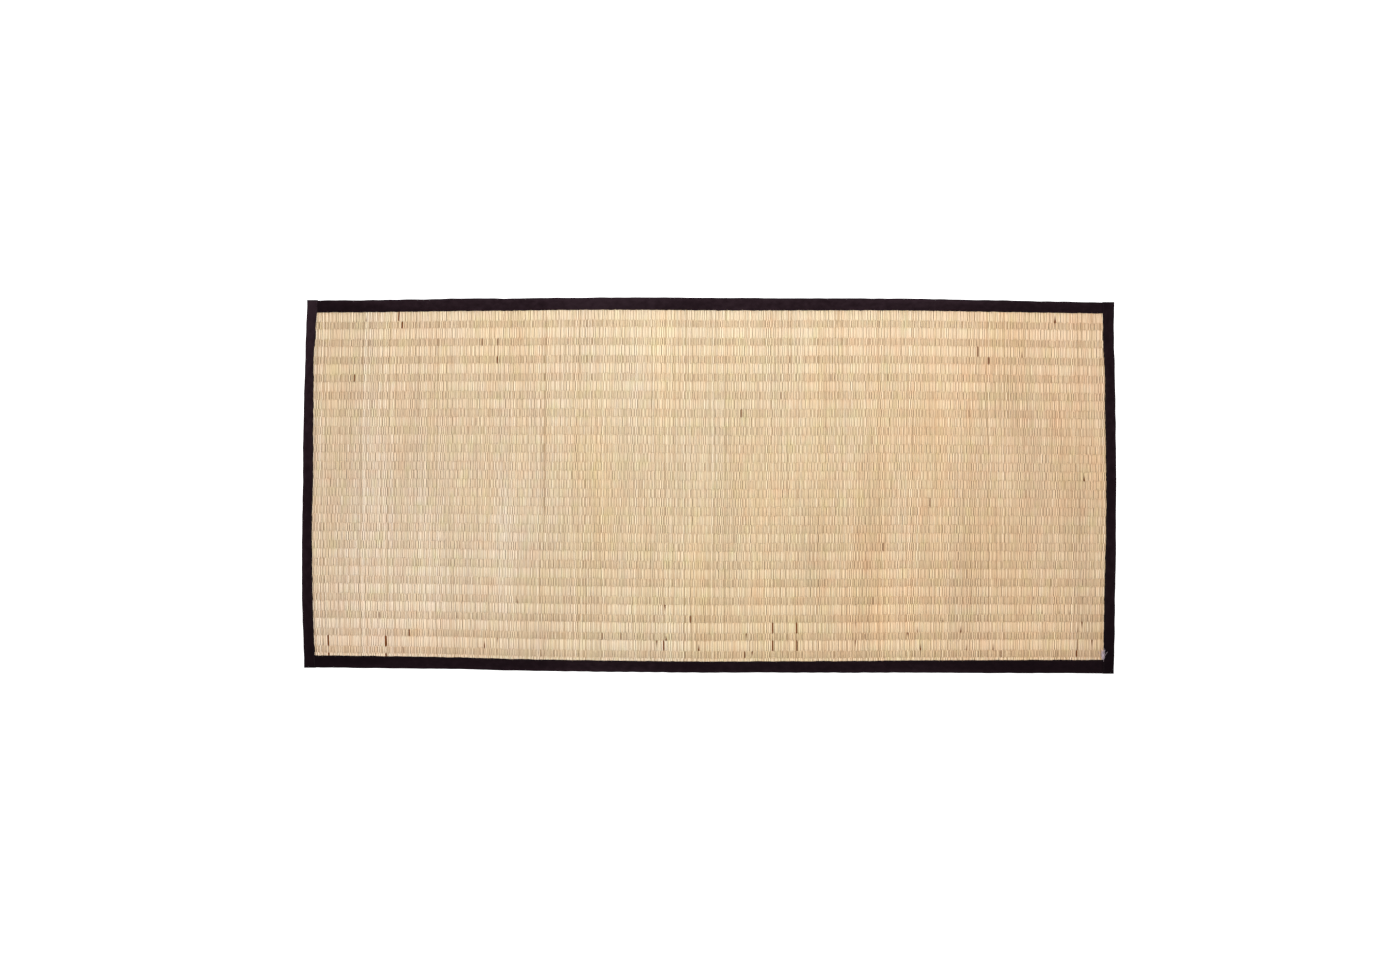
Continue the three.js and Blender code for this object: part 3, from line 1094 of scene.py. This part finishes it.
def make_strip(name, edge, along_axis, along, squash, material):
    """One binding strip: a closed folded sheet."""
    across, up, round_it, wear_and_light, outer = strip_section(edge, along)
    points = np.empty((*across.shape, 3))
    points[..., along_axis] = along[:, None]
    points[..., 1 - along_axis] = across
    points[..., 2] = np.maximum(MID_HEIGHT + (up - MID_HEIGHT) * squash[:, None], LOWEST)
    strip = Joined()
    flip = (edge.side > 0) != (along_axis == 0)
    strip.add(points[None], *strip_uv(*across.shape, outer), flip=flip)
    piece = strip.finish(f"{name}_cloth", material)
    store(piece, "along", np.broadcast_to(along[:, None], across.shape))
    store(piece, "round", round_it)
    # Each strip's paleness along it is partly its cloth and partly painted light and shade
    middle, rise, drop = STRIP_TONE_AND_LIGHT[name]
    share = along / np.abs(along).max()
    store(piece, "wear_and_light", wear_and_light + (middle + rise * share - drop * share**2)[:, None])
    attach(piece, "root")
    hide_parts(name)


def make_stitches(name, edge, along_axis, low, high, material):
    """A row of lockstitches along a hem, on the upper and the under face."""
    count = int((high - low) / (STITCH_LENGTH + STITCH_GAP))
    middle = low + (np.arange(count) + 0.5) * (high - low) / count
    seam = edge.hem(middle) + edge.side * SEAM_INSET
    size = STITCH_TAPER * THREAD_RADIUS
    angle = np.arange(CORD_SIDES) * 2 * math.pi / CORD_SIDES
    along = middle[:, None] + STITCH_ALONG * STITCH_LENGTH
    stitches = Joined()
    for level, inwards in ((CLOTH_TOP, -1), (0.0, 1)):
        rise = level + inwards * SEAM_DIP - inwards * STITCH_RISE
        points = np.empty((*along.shape, CORD_SIDES, 3))
        points[..., along_axis] = along[..., None]
        points[..., 1 - along_axis] = seam[:, None, None] + size[:, None] * np.cos(angle)
        points[..., 2] = np.maximum(rise[:, None] + size[:, None] * np.sin(angle), LOWEST)
        stitches.add(points, flip=along_axis == 1)
    piece = stitches.finish(name, material)
    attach(piece, "root")


def make_long_binding(name, edge, cotton, thread):
    """A long edge's strip and seam: the strip's ends are pressed flat, and the seam runs between them."""
    line = edge.fold(0)
    low, high = LEFT.fold(line) + RIM_INSET, RIGHT.fold(line) - RIM_INSET
    low_hem, high_hem = LEFT.hem(edge.hem(low)), RIGHT.hem(edge.hem(high))
    along = np.linspace(low, high, int((high - low) / STRIP_STEP))
    inside = np.minimum(along - low_hem, high_hem - along)
    squash = blend(TAB_SQUASH, 1.0, ease(inside, *TAB_SLOPE))
    make_strip(f"long_binding_{name}", edge, 0, along, squash, cotton)
    seam_low, seam_high = low_hem + LONG_SEAM_MARGIN, high_hem - LONG_SEAM_MARGIN
    make_stitches(f"long_seam_{name}", edge, 0, seam_low, seam_high, thread)


def make_end_binding(name, edge, cotton, thread):
    """An end's strip and seam, over the ends of the long strips."""
    line = edge.fold(0)
    low, high = NEAR.fold(line) - END_PROUD, FAR.fold(line) + END_PROUD
    body = np.linspace(low + TIP_LENGTH, high - TIP_LENGTH, int((high - low) / STRIP_STEP))
    along = np.concatenate([low + TIP_PLACES, body, high - TIP_PLACES[::-1]])
    inside = np.minimum(along - low, high - along)
    squash = blend(TIP_SQUASH, 1.0, ease(inside, *TIP_SLOPE))
    make_strip(f"end_binding_{name}", edge, 1, along, squash, cotton)
    make_stitches(f"end_seam_{name}", edge, 1, low + END_SEAM_MARGIN, high - END_SEAM_MARGIN, thread)


def make_binding(cotton, thread):
    """Long strips first, then the end strips over them."""
    make_long_binding("near", NEAR, cotton, thread)
    make_long_binding("far", FAR, cotton, thread)
    make_end_binding("left", LEFT, cotton, thread)
    make_end_binding("right", RIGHT, cotton, thread)


# Loose ends of pale thread at the near right corner


def make_tuft(material):
    """A small tangle of thread ends lying where the two hems meet."""
    share = np.linspace(0, 1, TUFT_STEPS)[None]
    each = (TUFT_STRANDS, 1)
    splay = RNG.normal(0, TUFT_SPLAY, each)
    heading = math.pi / 2 + splay + RNG.normal(0, TUFT_CURL, each) * share
    step = RNG.uniform(TUFT_SHORTEST, TUFT_LONGEST, each) / TUFT_STEPS
    x = TUFT_X + RNG.normal(0, TUFT_WIDE, each) + step * np.cumsum(np.cos(heading), 1)
    y = TUFT_Y + RNG.uniform(-TUFT_SCATTER, TUFT_SCATTER, each)
    y = y + step * (np.cumsum(np.sin(heading), 1) - TUFT_STEPS / 2)
    height = RNG.uniform(TUFT_LOWEST, TUFT_HIGHEST, each)
    z = CLOTH_TOP + height + TUFT_ARCH * np.sin(math.pi * share)
    angle = np.arange(CORD_SIDES) * 2 * math.pi / CORD_SIDES
    beside = THREAD_RADIUS * np.cos(angle)
    points = np.stack(
        np.broadcast_arrays(
            x[..., None] - beside * np.sin(heading)[..., None],
            y[..., None] + beside * np.cos(heading)[..., None],
            z[..., None] + THREAD_RADIUS * np.sin(angle),
        ),
        -1,
    )
    tuft = Joined()
    tuft.add(points)
    piece = tuft.finish("thread_tuft", material)
    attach(piece, "root")


# Floor, light and camera


def make_floor():
    """A plain white floor that reaches past every view, lit up to white all round the mat."""
    material, tree, shader = new_material("floor")
    shader.inputs["Base Color"].default_value = (0.94, 0.94, 0.94, 1)
    shader.inputs["Roughness"].default_value = 0.9
    shader.inputs["Emission Color"].default_value = (1, 1, 1, 1)
    place = add(tree, "ShaderNodeTexCoord").outputs["Object"]
    apart = add(tree, "ShaderNodeSeparateXYZ", {0: place})
    reach = np.abs(cad_box).max(0) - GLOW_INSET
    outside = [
        maths(tree, "SUBTRACT", maths(tree, "ABSOLUTE", apart.outputs[axis]), float(reach[axis]))
        for axis in (0, 1)
    ]
    beyond = maths(tree, "GREATER_THAN", maths(tree, "MAXIMUM", *outside), 0.0)
    tree.links.new(maths(tree, "MULTIPLY", beyond, FLOOR_GLOW), shader.inputs["Emission Strength"])
    corners = [(-1, -1, 0), (1, -1, 0), (1, 1, 0), (-1, 1, 0)]
    points = np.array(corners) * FLOOR_REACH - [0, 0, FLOOR_DROP]
    new_object("floor", points, [[0, 1, 2, 3]], material)


def make_light():
    """A long soft box above the mat, nearer its far edge, and an even white surround."""
    light = bpy.data.lights.new("softbox", "AREA")
    light.shape = "RECTANGLE"
    light.size, light.size_y = SOFTBOX_LONG, SOFTBOX_DEEP
    light.energy = SOFTBOX_WATTS
    lamp = bpy.data.objects.new("softbox", light)
    lamp.location = (SOFTBOX_X, SOFTBOX_Y, SOFTBOX_Z)
    lamp.visible_camera = False
    bpy.context.collection.objects.link(lamp)
    world = bpy.data.worlds.new("surround")
    world.use_nodes = True
    background = world.node_tree.nodes["Background"]
    background.inputs["Color"].default_value = (1, 1, 1, 1)
    background.inputs["Strength"].default_value = SURROUND
    bpy.context.scene.world = world


def make_camera():
    """Straight above, so that the mat falls on the photograph's pixels."""
    data = bpy.data.cameras.new("camera")
    data.lens = LENS_MM
    data.sensor_width = SENSOR_MM
    camera = bpy.data.objects.new("camera", data)
    camera.location = (
        (PHOTO_WIDE / 2 - MAT_CENTRE_X_PX) * METRES_PER_PX,
        (MAT_CENTRE_Y_PX - PHOTO_HIGH / 2) * METRES_PER_PX,
        PHOTO_WIDE * METRES_PER_PX * LENS_MM / SENSOR_MM,
    )
    bpy.context.collection.objects.link(camera)
    bpy.context.scene.camera = camera
    bpy.context.scene.view_settings.view_transform = "Standard"


block_names = make_stems(rush_material())
make_cords(cord_material())
black_thread = thread_material("black_thread", screen(16, 10, 12), screen(40, 30, 34))
make_binding(cotton_material(), black_thread)
make_tuft(thread_material("pale_thread", screen(174, 153, 164), screen(224, 207, 213)))
make_floor()
make_light()
make_camera()
